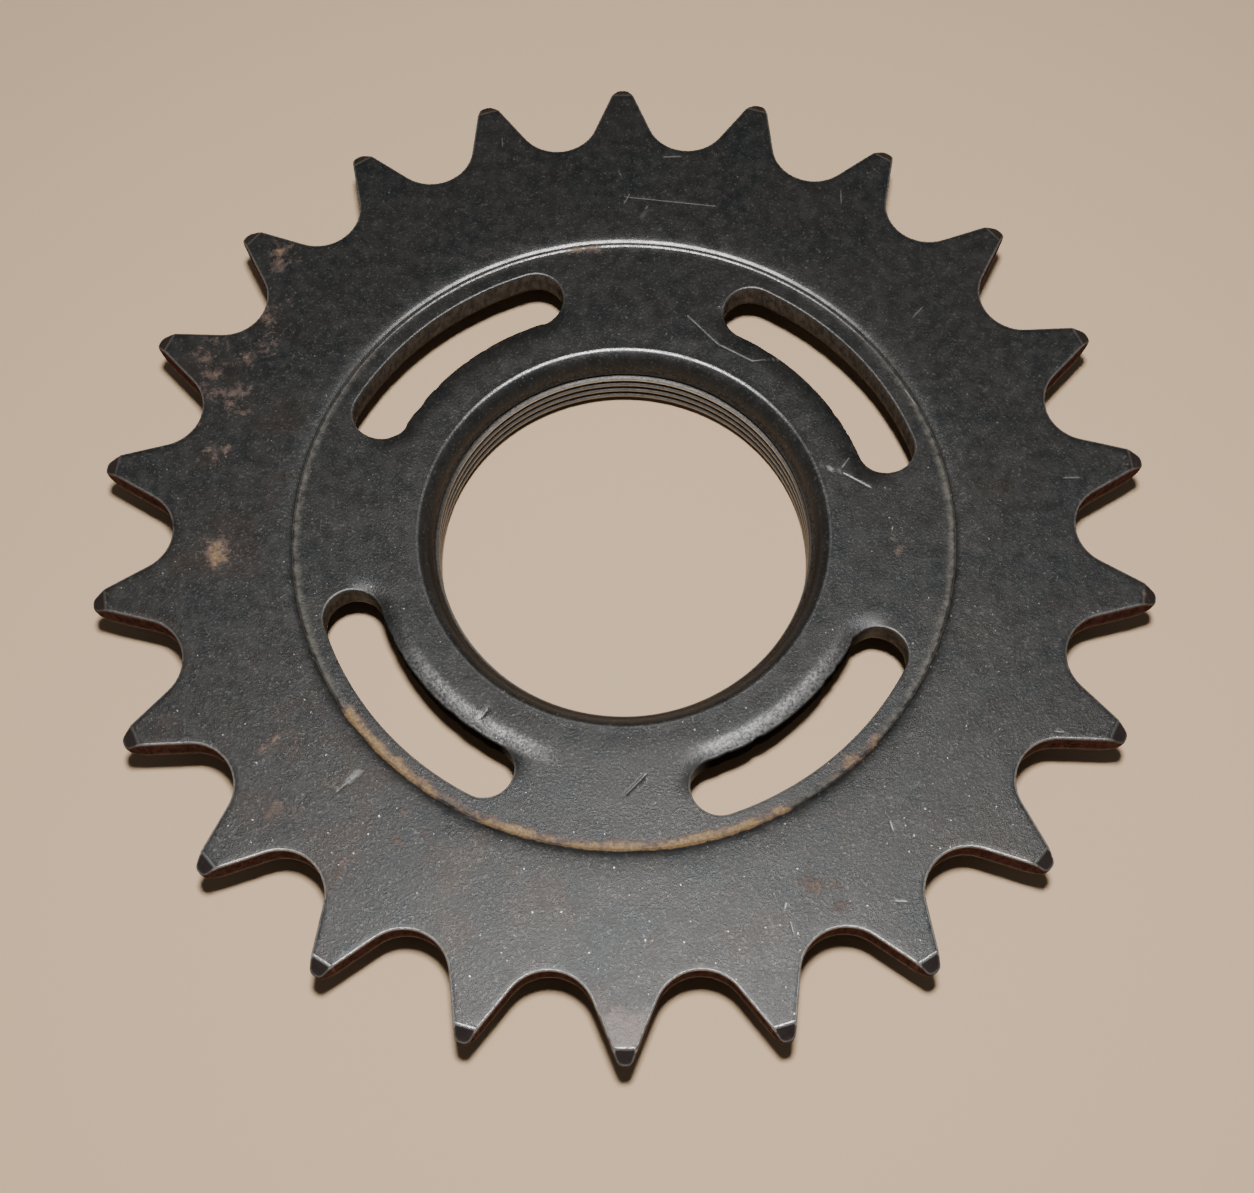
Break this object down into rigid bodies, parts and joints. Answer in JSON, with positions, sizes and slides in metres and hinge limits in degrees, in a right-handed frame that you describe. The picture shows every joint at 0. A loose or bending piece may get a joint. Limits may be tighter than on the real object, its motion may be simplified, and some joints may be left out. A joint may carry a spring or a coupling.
{
  "type": "rear sprocket",
  "caption": "Flat toothed rear sprocket pressed from one steel plate, with a recessed web, curved slots and a central threaded collar.",
  "frame": {"origin": "on the sprocket's axis, in the plane of the collar's lower end, on which it lies", "axes": "+Z along the axis, from the collar's end towards the rim's outer face; a tooth points along +Y and a gap along +X"},
  "size_m": [0.095, 0.0958, 0.008],
  "materials": {
    "blackened_steel": "black oxide steel, satin, lightly worn at the edges with rust in the corners"
  },
  "bodies": {
    "root": {"sprocket": "blackened_steel"}
  },
  "joints": []
}
